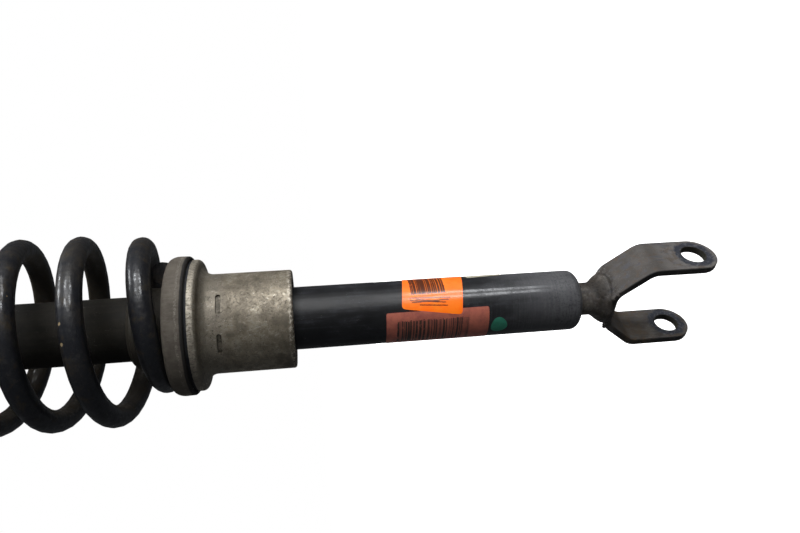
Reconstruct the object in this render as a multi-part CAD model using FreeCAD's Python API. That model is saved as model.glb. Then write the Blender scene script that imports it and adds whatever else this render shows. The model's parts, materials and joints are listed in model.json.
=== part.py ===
"""Rear coil-over shock absorber with a bolt-on fork at its foot and a three-stud top mount.

Frame: origin on the axis of the fork's bolt, midway between the ears. +X runs along that bolt,
+Z runs up the damper to the top mount. Everything is in millimetres.
"""
import FreeCAD
import Part
import math
import os

V = FreeCAD.Vector

# ---- driving dimensions ----------------------------------------------------------------------

# clearances
RUNNING = 0.05          # radial, between a shaft or piston and what guides it
SLIP = 0.1              # radial, between parts that are pushed together by hand
SOFT_GAP = 0.3          # between a soft part and the moving part it nearly touches

# fork at the foot
FORK_GAP = 58.0         # between the ears
FORK_PLATE = 4.6        # thickness of the strap
FORK_WIDTH = 29.6       # width of the strap
FORK_HOLE_R = 8.1       # for a 16 mm bolt
FORK_STRAIGHT = 32.1    # height of the ears' upper bends above the bolt
FORK_FLOOR = 52.3       # height of the inside of the fork's base
FORK_BASE_HALF = 11.7   # half width of the flat part of the base, inside
FORK_BEND_R = 9.0       # inside radius of the ears' bends
FORK_BASE_R = 8.0       # inside radius of the base's bends
FORK_EDGE_R = 0.7       # rounding left on the strap's edges by the press
FORK_EAR_DROP = 0.6     # the ears' round ends are centred this far below the bolt

# stem between the fork and the tube
STEM_R = 11.0
STEM_FLARE_R = 16.4
STEM_FLARE_H = 9.6      # height over which the flare runs out
STEM_H = 19.1           # from the fork's base to the tube

# damper tube
TUBE_R = 20.0
TUBE_WALL = 2.0
TUBE_BOTTOM = 4.0       # thickness of the closed bottom
TUBE_EDGE_R = 5.4       # rounding of the bottom edge
TUBE_LIP = 2.5          # thickness of the lip rolled in over the seal
TUBE_LIP_GAP = 7.0      # from the rod to that lip

# perch: height of the sleeve's lower rim above the bolt, and what stacks up from it
PERCH_Z = 262.8
SKIRT_R = 31.3
SKIRT_WALL = 4.8
SKIRT_DEPTH = 36.0      # of the hollow under the sleeve's bore
SKIRT_FILLET = 6.5      # under the flange
SKIRT_EDGE = 1.7        # rounding of the lower rim
SLEEVE_L = 60.1
FLANGE_T = 4.8
FLANGE_EDGE = 2.9
SLOT_W = 3.0            # shallow cast slots in the skirt, along the axis
SLOT_ARC = 18.0         # degrees
SLOT_DEPTH = 1.3
SLOT_DROP = 16.4        # below the flange's top
SLOT_ANGLES = (-25.0, -69.5)
RING_T = 3.8            # isolator ring
SEAT_FLOOR_T = 6.3
SEAT_LIP = 4.0          # height of the lip above the floor
SEAT_LIP_T = 1.0        # at its rounded top
SEAT_BULGE = 3.45       # how far the seat's side stands out past that
SEAT_RIM = 2.2          # how far the side reaches down over the isolator
SEAT_SIDE = 4.0         # height of the side above the isolator before it rounds in
HUB_R = 24.7
HUB_H = 28.0            # above the floor
HUB_EDGE = 2.5
HUB_GAP = 2.4           # between the hub and the spring's end coil
PAD_T = 2.1             # lower spring pad

# retaining rings: (radial depth of the groove, thickness, how far the ring stands out)
RING_GROOVE = 0.8
RING_THICK = 2.2
RING_STANDS = 2.4

# coil spring
WIRE_R = 6.83
COIL_R = 52.3           # mean radius of the full coils
PITCH = 35.0
TURNS = 8.75
PIGTAIL_TURN = 0.54     # where the pigtail starts to open out
PIGTAIL_OPEN = 0.6      # turns it takes to reach the full radius
DEAD_TURNS = 0.5        # flat at each end
RISE_TURNS = 0.35       # over which the pitch sets in
START_ANGLE = 35.3      # degrees, of the wire's lower tip
SPRING_GAP = 0.25       # between the wire and each pad

# rod, piston and valve
STROKE = 120.0
ROD_R = 7.0
ROD_END_R = 5.0         # below the piston's shoulder
GUIDE_H = 20.0
BUSH_WALL = 1.5
SEAL_H = 6.5
BUMPER_H = 14.0
BUMPER_INSET = 4.5      # from the bore to the bumper
STOP_T = 2.0
STOP_INSET = 3.0        # from the bore to the stop plate and the largest shims
SHOULDER_DROP = 7.0     # rod left plain between the stop plate and the shims
SHIM_T = 0.4
SHIM_STEP = 2.0         # in radius from one shim to the next
SHIMS = 4
PISTON_H = 22.0
PISTON_PLAY = 0.5       # radial, between the piston's body and the bore
BAND_H = 8.0
BAND_T = 1.6
PORT_R = 2.0
PORTS = 6
PISTON_NUT_FLATS = 17.0
PISTON_NUT_H = 9.0
ROD_TIP = 2.0           # thread left showing past each nut

# floating piston between the gas and the oil
GAS_L = 141.0           # length of the gas space at full extension
FLOAT_H = 16.0
FLOAT_CUP = 9.0         # depth of the dish in its gas side
FLOAT_WALL = 4.0
FLOAT_SEAL_H = 4.0
FLOAT_SEAL_T = 2.6

# top of the damper
CAP_T = 3.0
CAP_SKIRT = 14.0
CAP_WALL = 1.6
BUMP_SOLID = 21.0       # length of the bump stop when squeezed flat
BUMP_L = 56.0
BUMP_R = 20.5
BUMP_WAIST_R = 17.5
BUMP_RINGS = 3
DUST_GAP = 4.5          # between the striker cap and the dust tube
DUST_WALL = 1.8
DUST_L = 132.0
DUST_RIBS = 3

# top mount
WASHER_T = 3.0
WASHER_R = 24.0
THREAD_R = 6.0          # M12 thread on the rod's top end
LOWER_BUSH_H = 12.0
UPPER_BUSH_H = 11.0
BUSH_R = 26.0
SPIGOT_R = 15.0         # rubber that passes through the plate
COLLAR_WALL = 2.6
MOUNT_T = 3.0
MOUNT_MARGIN = 5.87     # of the flange outside the spring
DOME_R = 36.0           # outside of the dome
DOME_H = 25.5           # from the flange's underside to the dome's top
DOME_BEND = 5.0
STUD_OUTSET = 7.0       # from the flange's edge to the circle of studs
STUD_EAR_R = 13.0
EAR_FILLET = 8.0        # where an ear runs out of the round flange
STUD_R = 5.0            # M10
STUD_L = 24.0           # that stands above the flange
STUD_KNURL = 0.6        # how far the pressed-in shoulder stands out past the thread
STUD_HEAD_R = 8.0
STUD_HEAD_T = 2.5
STUDS = 3
UPPER_PAD_T = 3.2
UPPER_PAD_LIP = 9.0     # how far the pad's inner lip reaches into the spring
UPPER_PAD_WALL = 3.5
ROD_NUT_FLATS = 19.0
ROD_NUT_H = 10.0
UPPER_WASHER_T = 2.5

# ---- heights worked out from them ------------------------------------------------------------

BORE_R = TUBE_R - TUBE_WALL
PIGTAIL_R = HUB_R + HUB_GAP + WIRE_R                # mean radius of the end coil on the seat
SEAT_LIP_R = PIGTAIL_R + 0.75 * WIRE_R              # inside of the lip the end coil lies in
SEAT_TOP_R = SEAT_LIP_R + SEAT_LIP_T
SEAT_R = SEAT_TOP_R + SEAT_BULGE
RING_R = SEAT_R - 3.2
FLANGE_R = SEAT_R - 2.45
LIP_HOLE_R = ROD_R + TUBE_LIP_GAP
CAP_R = TUBE_R + SLIP + CAP_WALL
DUST_R = CAP_R + DUST_GAP + DUST_WALL
MOUNT_R = COIL_R + WIRE_R + MOUNT_MARGIN
STUD_CIRCLE_R = MOUNT_R + STUD_OUTSET
STRAP_TOP = FORK_FLOOR + FORK_PLATE
TUBE_Z = STRAP_TOP + STEM_H
FLANGE_TOP = PERCH_Z + SLEEVE_L
SEAT_Z = FLANGE_TOP + RING_T
SEAT_FLOOR = SEAT_Z + SEAT_FLOOR_T
HUB_TOP = SEAT_FLOOR + HUB_H
PAD_TOP = SEAT_FLOOR + PAD_T
SPRING_Z = PAD_TOP + SPRING_GAP                     # underside of the lowest wire
SPRING_L = PITCH * (TURNS - 2 * DEAD_TURNS - RISE_TURNS) + 2 * WIRE_R
SPRING_TOP = SPRING_Z + SPRING_L
FLANGE_Z = SPRING_TOP + SPRING_GAP + UPPER_PAD_T    # underside of the mount's flange
PLATE_TOP = FLANGE_Z + DOME_H
PLATE_Z = PLATE_TOP - MOUNT_T
LOWER_BUSH_Z = PLATE_Z - LOWER_BUSH_H
WASHER_Z = LOWER_BUSH_Z - WASHER_T                  # the rod's upper shoulder
UPPER_WASHER_Z = PLATE_TOP + UPPER_BUSH_H
ROD_NUT_Z = UPPER_WASHER_Z + UPPER_WASHER_T
COLLAR_R = THREAD_R + COLLAR_WALL
CAP_TOP = WASHER_Z - STROKE - BUMP_SOLID
TUBE_TOP = CAP_TOP - CAP_T
SEAL_TOP = TUBE_TOP - TUBE_LIP
GUIDE_TOP = SEAL_TOP - SEAL_H
GUIDE_Z = GUIDE_TOP - GUIDE_H
BUMPER_TOP = GUIDE_Z - SOFT_GAP
STOP_Z = BUMPER_TOP - BUMPER_H - STOP_T
SHIM_TOP = STOP_Z - SHOULDER_DROP
STACK_H = SHIM_T * SHIMS
PISTON_TOP = SHIM_TOP - STACK_H
PISTON_Z = PISTON_TOP - PISTON_H
PISTON_NUT_Z = PISTON_Z - STACK_H - PISTON_NUT_H
FLOAT_Z = TUBE_Z + TUBE_BOTTOM + GAS_L


# ---- shapes ----------------------------------------------------------------------------------

def turned(points):
    """Solid of revolution about Z from (radius, height) corners, listed round the section."""
    corners = [V(r, 0, z) for r, z in points]
    face = Part.Face(Part.makePolygon(corners + corners[:1]))
    return face.revolve(V(0, 0, 0), V(0, 0, 1), 360)


def disc(radius, z, height):
    return Part.makeCylinder(radius, height, V(0, 0, z))


def ring(inner, outer, z, height):
    return disc(outer, z, height).cut(disc(inner, z - 1, height + 2))


def circular_edges(shape, radius, z):
    """The round edges of that radius that lie at that height."""
    found = []
    for edge in shape.Edges:
        if isinstance(edge.Curve, Part.Circle):
            right_size = abs(edge.Curve.Radius - radius) < 1e-4
            right_place = abs(edge.Curve.Center.z - z) < 1e-4
            if right_size and right_place:
                found.append(edge)
    return found


def rounded(shape, size, radius, z):
    return shape.makeFillet(size, circular_edges(shape, radius, z))


def chamfered(shape, size, radius, z):
    return shape.makeChamfer(size, circular_edges(shape, radius, z))


def hexagon(flats, z, height):
    """Hexagonal bar with its corners chamfered at both ends."""
    corner_r = flats / math.sqrt(3)
    corners = [
        V(corner_r * math.cos(math.radians(a)), corner_r * math.sin(math.radians(a)), z)
        for a in range(0, 361, 60)
    ]
    bar = Part.Face(Part.makePolygon(corners)).extrude(V(0, 0, height))
    bevel = corner_r - flats / 2
    cone = turned([
        (0, z), (flats / 2, z), (corner_r, z + bevel / 2), (corner_r, z + height - bevel / 2),
        (flats / 2, z + height), (0, z + height),
    ])
    return bar.common(cone)


def around(shape, count):
    """Copies of a solid spread evenly about Z."""
    copies = []
    for i in range(count):
        copy = shape.copy()
        copy.rotate(V(0, 0, 0), V(0, 0, 1), i * 360 / count)
        copies.append(copy)
    return copies


def groove_ring(seat_r, z):
    """Open retaining ring that sits in an outside groove of radius seat_r."""
    whole = ring(seat_r + RUNNING, seat_r + RING_GROOVE + RING_STANDS, z, RING_THICK)
    mouth = Part.makeBox(seat_r * 2, seat_r * 0.5, RING_THICK * 2, V(0, -seat_r * 0.25, z - RING_THICK / 2))
    return whole.cut(mouth)


# ---- fork and stem ---------------------------------------------------------------------------

def strap_outline(offset):
    """Corners of the fork's U in XZ, moved outwards by offset from the inside face."""
    half = FORK_GAP / 2 + offset
    top = FORK_FLOOR + offset
    slope = math.atan2(FORK_FLOOR - FORK_STRAIGHT, FORK_GAP / 2 - FORK_BASE_HALF)
    knee = FORK_STRAIGHT + offset * math.tan((math.pi / 2 - slope) / 2)
    base = FORK_BASE_HALF + offset * math.tan(slope / 2)
    foot = -FORK_WIDTH
    return [(half, foot), (half, knee), (base, top), (-base, top), (-half, knee), (-half, foot)]


def strap_block(offset, bend_r, base_r):
    """The U filled in, as a bar along Y with its bends rounded."""
    corners = [V(x, -FORK_WIDTH, z) for x, z in strap_outline(offset)]
    bar = Part.Face(Part.makePolygon(corners + corners[:1])).extrude(V(0, 2 * FORK_WIDTH, 0))
    half = FORK_GAP / 2 + offset
    knees, shoulders = [], []
    for edge in bar.Edges:
        along_y = edge.Length > 2 * FORK_WIDTH - 1e-3 and abs(edge.tangentAt(0).y) > 0.999
        if along_y and edge.CenterOfMass.z > 0:
            side = knees if abs(abs(edge.CenterOfMass.x) - half) < 1e-3 else shoulders
            side.append(edge)
    bar = bar.makeFillet(bend_r, knees)
    again = []
    for edge in bar.Edges:
        if any(abs(edge.CenterOfMass.sub(old.CenterOfMass).Length) < 1e-3 for old in shoulders):
            again.append(edge)
    return bar.makeFillet(base_r, again)


def outer_edges(strap):
    """The strap's long edges and those round the ears' ends."""
    half = FORK_WIDTH / 2 - 1e-3
    return [e for e in strap.Edges if abs(e.CenterOfMass.y) > half or e.CenterOfMass.z < 0]


def strap_envelope():
    return strap_block(FORK_PLATE, FORK_BEND_R + FORK_PLATE, FORK_BASE_R + FORK_PLATE)


def fork_bracket():
    """A strap bent to a U, its ears rounded about the bolt's axis."""
    strap = strap_envelope().cut(strap_block(0, FORK_BEND_R, FORK_BASE_R))
    ear_r = FORK_WIDTH / 2
    span = FORK_GAP + 4 * FORK_PLATE
    side_view = Part.makeBox(span, FORK_WIDTH, STRAP_TOP + 1, V(-span / 2, -ear_r, -FORK_EAR_DROP))
    ends = Part.makeCylinder(ear_r, span, V(-span / 2, 0, -FORK_EAR_DROP), V(1, 0, 0))
    side_view = side_view.fuse(ends)
    holes = Part.makeCylinder(FORK_HOLE_R, span, V(-span / 2, 0, 0), V(1, 0, 0))
    strap = strap.common(side_view)
    strap = strap.makeFillet(FORK_EDGE_R, outer_edges(strap))
    return strap.cut(holes)


def fork_stem():
    """Round stub whose flared foot is shaped to the strap it is welded to."""
    foot = STRAP_TOP - FORK_PLATE / 2
    points = [(0, foot), (STEM_FLARE_R, foot)]
    steps = 12
    for i in range(steps + 1):
        r = STEM_R + (STEM_FLARE_R - STEM_R) * (0.5 + 0.5 * math.cos(math.pi * i / steps))
        points.append((r, STRAP_TOP + STEM_FLARE_H * i / steps))
    points += [(STEM_R, TUBE_Z), (0, TUBE_Z)]
    return turned(points).cut(strap_envelope())


# ---- damper tube and perch -------------------------------------------------------------------

def perch_groove_z():
    return PERCH_Z + SKIRT_DEPTH - RING_THICK


def guide_groove_z():
    return GUIDE_Z - RING_THICK


def damper_tube():
    """Closed-bottomed tube whose top edge is rolled in over the seal."""
    outside = rounded(disc(TUBE_R, TUBE_Z, TUBE_TOP - TUBE_Z), TUBE_EDGE_R, TUBE_R, TUBE_Z)
    floor = TUBE_Z + TUBE_BOTTOM
    bore = disc(BORE_R, floor, SEAL_TOP - floor)
    bore = rounded(bore, TUBE_EDGE_R - TUBE_WALL, BORE_R, floor)
    tube = outside.cut(bore).cut(disc(LIP_HOLE_R, SEAL_TOP - 1, TUBE_LIP + 2))
    tube = rounded(tube, TUBE_LIP * 0.8, TUBE_R, TUBE_TOP)
    tube = tube.cut(ring(TUBE_R - RING_GROOVE, TUBE_R + 1, perch_groove_z(), RING_THICK))
    return tube.cut(disc(BORE_R + RING_GROOVE, guide_groove_z(), RING_THICK))


def perch_snap_ring():
    return groove_ring(TUBE_R - RING_GROOVE, perch_groove_z())


def cast_slot(angle):
    """What a round-ended slot in the skirt takes away, centred at that angle."""
    slot_z = FLANGE_TOP - SLOT_DROP
    floor_r = SKIRT_R - SLOT_DEPTH
    wedge = Part.makeCylinder(SKIRT_R + 1, SLOT_W, V(0, 0, slot_z - SLOT_W / 2), V(0, 0, 1), SLOT_ARC)
    wedge.rotate(V(0, 0, 0), V(0, 0, 1), angle - SLOT_ARC / 2)
    for end in (angle - SLOT_ARC / 2, angle + SLOT_ARC / 2):
        out = V(math.cos(math.radians(end)), math.sin(math.radians(end)), 0)
        start = out * (floor_r - 1) + V(0, 0, slot_z)
        wedge = wedge.fuse(Part.makeCylinder(SLOT_W / 2, SLOT_DEPTH + 2, start, out))
    return wedge.common(ring(floor_r, SKIRT_R + 1, slot_z - SLOT_W, 2 * SLOT_W))


def perch_sleeve():
    """Cast sleeve: a hollow skirt below, a bore on the tube above, and the flange on top."""
    flange_z = FLANGE_TOP - FLANGE_T
    skirt = disc(SKIRT_R, PERCH_Z, SLEEVE_L)
    flange = rounded(disc(FLANGE_R, flange_z, FLANGE_T), FLANGE_EDGE, FLANGE_R, flange_z)
    sleeve = skirt.fuse(flange)
    sleeve = rounded(sleeve, SKIRT_FILLET, SKIRT_R, flange_z)
    sleeve = rounded(sleeve, SKIRT_EDGE, SKIRT_R, PERCH_Z)
    sleeve = sleeve.cut(disc(SKIRT_R - SKIRT_WALL, PERCH_Z - 1, SKIRT_DEPTH + 1))
    sleeve = sleeve.cut(disc(TUBE_R + SLIP, PERCH_Z, SLEEVE_L + 1))
    for angle in SLOT_ANGLES:
        sleeve = sleeve.cut(cast_slot(angle))
    return sleeve


def perch_isolator():
    return ring(TUBE_R + SLIP + 2, RING_R, FLANGE_TOP, RING_T)


def spring_seat_cup():
    """Dished seat with a lip outside the end coil and a hub inside it."""
    rim_z = SEAT_Z - SEAT_RIM
    side_top = SEAT_Z + SEAT_SIDE
    lip_top = SEAT_FLOOR + SEAT_LIP
    bore_r = TUBE_R + SLIP
    points = [
        (bore_r, SEAT_Z), (RING_R + SLIP, SEAT_Z), (RING_R + SLIP, rim_z + 0.6),
        (SEAT_R - 1.6, rim_z), (SEAT_R - 0.6, rim_z + 0.4), (SEAT_R - 0.15, rim_z + 1.1),
    ]
    steps = 12
    for i in range(steps + 1):
        turn = math.pi / 2 * i / steps
        r = SEAT_TOP_R + (SEAT_R - SEAT_TOP_R) * math.cos(turn)
        points.append((r, side_top + (lip_top - side_top) * math.sin(turn)))
    points += [
        (SEAT_LIP_R + 0.3, lip_top), (SEAT_LIP_R, lip_top - 0.3), (SEAT_LIP_R, SEAT_FLOOR),
        (HUB_R, SEAT_FLOOR), (HUB_R, HUB_TOP - HUB_EDGE),
        (HUB_R - HUB_EDGE * 0.6, HUB_TOP - HUB_EDGE * 0.3), (HUB_R - HUB_EDGE, HUB_TOP),
        (bore_r, HUB_TOP),
    ]
    return turned(points)


def lower_spring_pad():
    return ring(HUB_R + SLIP, SEAT_LIP_R - SLIP, SEAT_FLOOR, PAD_T)


# ---- coil spring -----------------------------------------------------------------------------

def eased(share):
    share = min(1.0, max(0.0, share))
    return share * share * (3 - 2 * share)


def climb(turns):
    """Turns' worth of pitch gained since the wire's tip, easing in and out of the dead ends."""
    def ramp(x):
        if x < 0:
            return 0.0
        if x < RISE_TURNS:
            return x * x / (2 * RISE_TURNS)
        return x - RISE_TURNS / 2
    return ramp(turns - DEAD_TURNS) - ramp(turns - (TURNS - DEAD_TURNS - RISE_TURNS))


def wire_centre(turns):
    radius = PIGTAIL_R + (COIL_R - PIGTAIL_R) * eased((turns - PIGTAIL_TURN) / PIGTAIL_OPEN)
    angle = math.radians(START_ANGLE + 360 * turns)
    height = SPRING_Z + WIRE_R + PITCH * climb(turns)
    return V(radius * math.cos(angle), radius * math.sin(angle), height)


def coil_spring():
    """Round wire swept along the spring's centre line, in spans of about a turn."""
    steps = int(TURNS * 24)
    points = [wire_centre(TURNS * i / steps) for i in range(steps + 1)]
    curve = Part.BSplineCurve()
    curve.interpolate(points)
    first, last = curve.FirstParameter, curve.LastParameter
    count = math.ceil(TURNS)
    spans = []
    for i in range(count):
        span = curve.copy()
        span.segment(first + (last - first) * i / count, first + (last - first) * (i + 1) / count)
        spans.append(span.toShape())
    path = Part.Wire(spans)
    start = curve.tangent(first)[0]
    section = Part.Wire(Part.makeCircle(WIRE_R, points[0], start))
    return path.makePipeShell([section], True, True)


# ---- rod guide, seal and cap -----------------------------------------------------------------

def rod_guide():
    """Aluminium plug in the tube's mouth with the bush in its bore."""
    plug = ring(ROD_R + BUSH_WALL + SLIP / 2, BORE_R - SLIP / 2, GUIDE_Z, GUIDE_H)
    oil_gallery = ring(BORE_R - 2.5, BORE_R, GUIDE_Z + GUIDE_H * 0.4, 3)
    return plug.cut(oil_gallery)


def guide_bush():
    return ring(ROD_R + RUNNING, ROD_R + BUSH_WALL, GUIDE_Z + 1, GUIDE_H - 2)


def rod_seal():
    """Rubber seal with a lip, held between the guide and the rolled edge."""
    lip_h = 1.5
    return turned([
        (ROD_R + RUNNING, GUIDE_TOP + 1), (ROD_R + 3, GUIDE_TOP), (BORE_R - SLIP, GUIDE_TOP),
        (BORE_R - SLIP, SEAL_TOP), (ROD_R + 5, SEAL_TOP), (ROD_R + 3, SEAL_TOP + lip_h),
        (ROD_R + RUNNING, SEAL_TOP + lip_h),
    ])


def guide_snap_ring():
    """Open ring in the bore's groove, which the guide sits on."""
    outer = BORE_R + RING_GROOVE - RUNNING
    whole = ring(BORE_R - RING_STANDS, outer, guide_groove_z(), RING_THICK)
    mouth = Part.makeBox(outer, outer * 0.4, RING_THICK * 2, V(0, -outer * 0.2, guide_groove_z() - 1))
    return whole.cut(mouth)


def striker_cap():
    """Pressed cap on the tube's top, which the bump stop lands on."""
    skirt_z = CAP_TOP - CAP_SKIRT
    cap = rounded(disc(CAP_R, skirt_z, CAP_SKIRT), CAP_WALL, CAP_R, CAP_TOP)
    cap = cap.cut(disc(CAP_R - CAP_WALL, skirt_z - 1, CAP_SKIRT + 1 - CAP_T))
    return cap.cut(disc(LIP_HOLE_R - 1.5, TUBE_TOP - 1, CAP_T + 2))


# ---- rod, piston and valve -------------------------------------------------------------------

def piston_rod():
    """Chromed rod, stepped down below the shims and again inside the top mount."""
    tip = PISTON_NUT_Z - ROD_TIP
    top = ROD_NUT_Z + ROD_NUT_H + ROD_TIP
    rod = disc(ROD_END_R, tip, SHIM_TOP - tip)
    rod = rod.fuse(disc(ROD_R, SHIM_TOP, WASHER_Z - SHIM_TOP))
    rod = rod.fuse(disc(THREAD_R, WASHER_Z, top - WASHER_Z))
    rod = chamfered(rod, 0.8, THREAD_R, top)
    return chamfered(rod, 0.8, ROD_END_R, tip)


def rebound_bumper():
    outer = BORE_R - BUMPER_INSET
    body = ring(ROD_R + SLIP, outer, BUMPER_TOP - BUMPER_H, BUMPER_H)
    return rounded(body, 2.5, outer, BUMPER_TOP)


def rebound_stop_plate():
    return ring(ROD_R + SLIP / 2, BORE_R - STOP_INSET, STOP_Z, STOP_T)


def shim_stack(z, largest_below):
    """Spring-steel discs of different sizes, one on another."""
    largest = BORE_R - STOP_INSET
    radii = sorted((largest - i * SHIM_STEP for i in range(SHIMS)), reverse=largest_below)
    discs = []
    for i, radius in enumerate(radii):
        discs.append(ring(ROD_END_R + SLIP / 2, radius, z + i * SHIM_T, SHIM_T))
    return Part.makeCompound(discs)


def compression_shims():
    return shim_stack(PISTON_TOP, True)


def rebound_shims():
    return shim_stack(PISTON_Z - STACK_H, False)


def piston():
    """Machined piston with a groove for its band and a circle of oil ports."""
    body = ring(ROD_END_R + SLIP / 2, BORE_R - PISTON_PLAY, PISTON_Z, PISTON_H)
    band_z = PISTON_Z + (PISTON_H - BAND_H) / 2
    body = body.cut(ring(BORE_R - RUNNING - BAND_T, BORE_R, band_z, BAND_H))
    port_circle_r = (ROD_END_R + BORE_R) / 2
    port = Part.makeCylinder(PORT_R, PISTON_H + 2, V(port_circle_r, 0, PISTON_Z - 1))
    for hole in around(port, PORTS):
        body = body.cut(hole)
    return body


def piston_band():
    z = PISTON_Z + (PISTON_H - BAND_H) / 2
    return ring(BORE_R - RUNNING - BAND_T, BORE_R - RUNNING, z, BAND_H)


def piston_nut():
    nut = hexagon(PISTON_NUT_FLATS, PISTON_NUT_Z, PISTON_NUT_H)
    return nut.cut(disc(ROD_END_R + SLIP / 2, PISTON_NUT_Z - 1, PISTON_NUT_H + 2))


def floating_piston():
    """Dished piston with its hollow towards the gas."""
    body = disc(BORE_R - PISTON_PLAY, FLOAT_Z, FLOAT_H)
    dish = disc(BORE_R - PISTON_PLAY - FLOAT_WALL - FLOAT_SEAL_T, FLOAT_Z - 1, FLOAT_CUP + 1)
    groove_z = FLOAT_Z + (FLOAT_H - FLOAT_SEAL_H) / 2
    return body.cut(dish).cut(ring(BORE_R - RUNNING - FLOAT_SEAL_T, BORE_R, groove_z, FLOAT_SEAL_H))


def floating_piston_seal():
    z = FLOAT_Z + (FLOAT_H - FLOAT_SEAL_H) / 2
    return ring(BORE_R - RUNNING - FLOAT_SEAL_T, BORE_R - RUNNING, z, FLOAT_SEAL_H)


# ---- bump stop and dust tube -----------------------------------------------------------------

def bump_stop():
    """Foam block round the rod, waisted so that it folds up in rings, with a tapered foot."""
    top = WASHER_Z
    step = BUMP_L / (2 * BUMP_RINGS)
    points = [(ROD_R + 0.8, top), (BUMP_R, top)]
    for i in range(1, 2 * BUMP_RINGS):
        points.append((BUMP_WAIST_R if i % 2 else BUMP_R, top - i * step))
    points += [(BUMP_WAIST_R - 4, top - BUMP_L), (ROD_R + 0.8, top - BUMP_L)]
    return turned(points)


def dust_tube():
    """Plastic tube round the bump stop; its inner collar hangs from the lower washer."""
    top = WASHER_Z
    bottom = top - DUST_L
    outer = DUST_R
    inner = DUST_R - DUST_WALL
    points = [(inner, top - 2.0), (WASHER_R - 3, top - 2.0), (WASHER_R - 3, top), (outer, top)]
    rib_h = 4.0
    gap = DUST_L * 0.2
    for i in range(1, DUST_RIBS + 1):
        z = top - i * gap
        points += [(outer, z + rib_h), (outer + 1.2, z + rib_h / 2), (outer, z)]
    points += [(outer, bottom), (inner, bottom)]
    return turned(points)


# ---- top mount -------------------------------------------------------------------------------

def lower_washer():
    """Washer on the rod's shoulder, between the bump stop and the lower bushing."""
    return ring(THREAD_R + SLIP, WASHER_R, WASHER_Z, WASHER_T)


def lower_mount_bushing():
    """Rubber below the plate, with a spigot that passes up through the plate's hole."""
    bulge = 1.5
    return turned([
        (COLLAR_R + SLIP, LOWER_BUSH_Z), (BUSH_R - bulge, LOWER_BUSH_Z),
        (BUSH_R, LOWER_BUSH_Z + LOWER_BUSH_H / 2), (BUSH_R - bulge, PLATE_Z),
        (SPIGOT_R, PLATE_Z), (SPIGOT_R, PLATE_TOP), (COLLAR_R + SLIP, PLATE_TOP),
    ])


def upper_mount_bushing():
    bulge = 1.5
    return turned([
        (COLLAR_R + SLIP, PLATE_TOP), (BUSH_R - bulge, PLATE_TOP),
        (BUSH_R, PLATE_TOP + UPPER_BUSH_H / 2), (BUSH_R - bulge, UPPER_WASHER_Z),
        (COLLAR_R + SLIP, UPPER_WASHER_Z),
    ])


def mount_collar():
    return ring(THREAD_R + SLIP, COLLAR_R, LOWER_BUSH_Z, UPPER_WASHER_Z - LOWER_BUSH_Z)


def mount_base():
    """Pressed plate: a dome over the lower bushing, and a flange with an ear at each stud."""
    outline = disc(MOUNT_R, FLANGE_Z, MOUNT_T)
    ear = Part.makeCylinder(STUD_EAR_R, MOUNT_T, V(STUD_CIRCLE_R, 0, FLANGE_Z))
    web = Part.makeBox(STUD_CIRCLE_R, 2 * STUD_EAR_R, MOUNT_T, V(0, -STUD_EAR_R, FLANGE_Z))
    for piece in around(ear.fuse(web), STUDS):
        outline = outline.fuse(piece)
    plate = outline.removeSplitter()
    corners = []
    for edge in plate.Edges:
        upright = abs(edge.tangentAt(edge.FirstParameter).z) > 0.999
        if upright and abs(math.hypot(edge.CenterOfMass.x, edge.CenterOfMass.y) - MOUNT_R) < 1e-3:
            corners.append(edge)
    plate = plate.makeFillet(EAR_FILLET, corners)
    dome = rounded(disc(DOME_R, FLANGE_Z, DOME_H), DOME_BEND, DOME_R, PLATE_TOP)
    hollow_r = DOME_R - MOUNT_T
    hollow = disc(hollow_r, FLANGE_Z - 1, DOME_H + 1 - MOUNT_T)
    hollow = rounded(hollow, DOME_BEND - MOUNT_T, hollow_r, PLATE_Z)
    plate = plate.fuse(dome)
    plate = rounded(plate, DOME_BEND, DOME_R, FLANGE_Z + MOUNT_T)
    plate = plate.cut(hollow).cut(disc(SPIGOT_R + SLIP, PLATE_Z - 1, MOUNT_T + 2))
    hole_r = STUD_R + STUD_KNURL + RUNNING
    hole = Part.makeCylinder(hole_r, MOUNT_T + 2, V(STUD_CIRCLE_R, 0, FLANGE_Z - 1))
    for cut in around(hole, STUDS):
        plate = plate.cut(cut)
    return plate


def mount_studs():
    """Round-headed studs pressed up through the flange's ears."""
    face_z = FLANGE_Z + MOUNT_T
    stud = disc(STUD_HEAD_R, FLANGE_Z - STUD_HEAD_T, STUD_HEAD_T)
    stud = stud.fuse(disc(STUD_R + STUD_KNURL, FLANGE_Z, MOUNT_T))
    stud = stud.fuse(disc(STUD_R, face_z, STUD_L))
    stud = chamfered(stud, 0.9, STUD_R, face_z + STUD_L)
    stud.translate(V(STUD_CIRCLE_R, 0, 0))
    return Part.makeCompound(around(stud, STUDS))


def upper_spring_pad():
    """Rubber ring between the spring's top coil and the flange, with a lip inside the coil."""
    inner = COIL_R - WIRE_R - SPRING_GAP - UPPER_PAD_WALL
    lip_r = inner + UPPER_PAD_WALL
    outer = COIL_R + WIRE_R + 1
    under = FLANGE_Z - UPPER_PAD_T
    return turned([
        (inner, FLANGE_Z), (inner, under - UPPER_PAD_LIP), (lip_r - 1, under - UPPER_PAD_LIP),
        (lip_r, under - UPPER_PAD_LIP + 1), (lip_r, under), (outer, under), (outer, FLANGE_Z),
    ])


def upper_washer():
    return ring(THREAD_R + SLIP, WASHER_R, UPPER_WASHER_Z, UPPER_WASHER_T)


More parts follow.
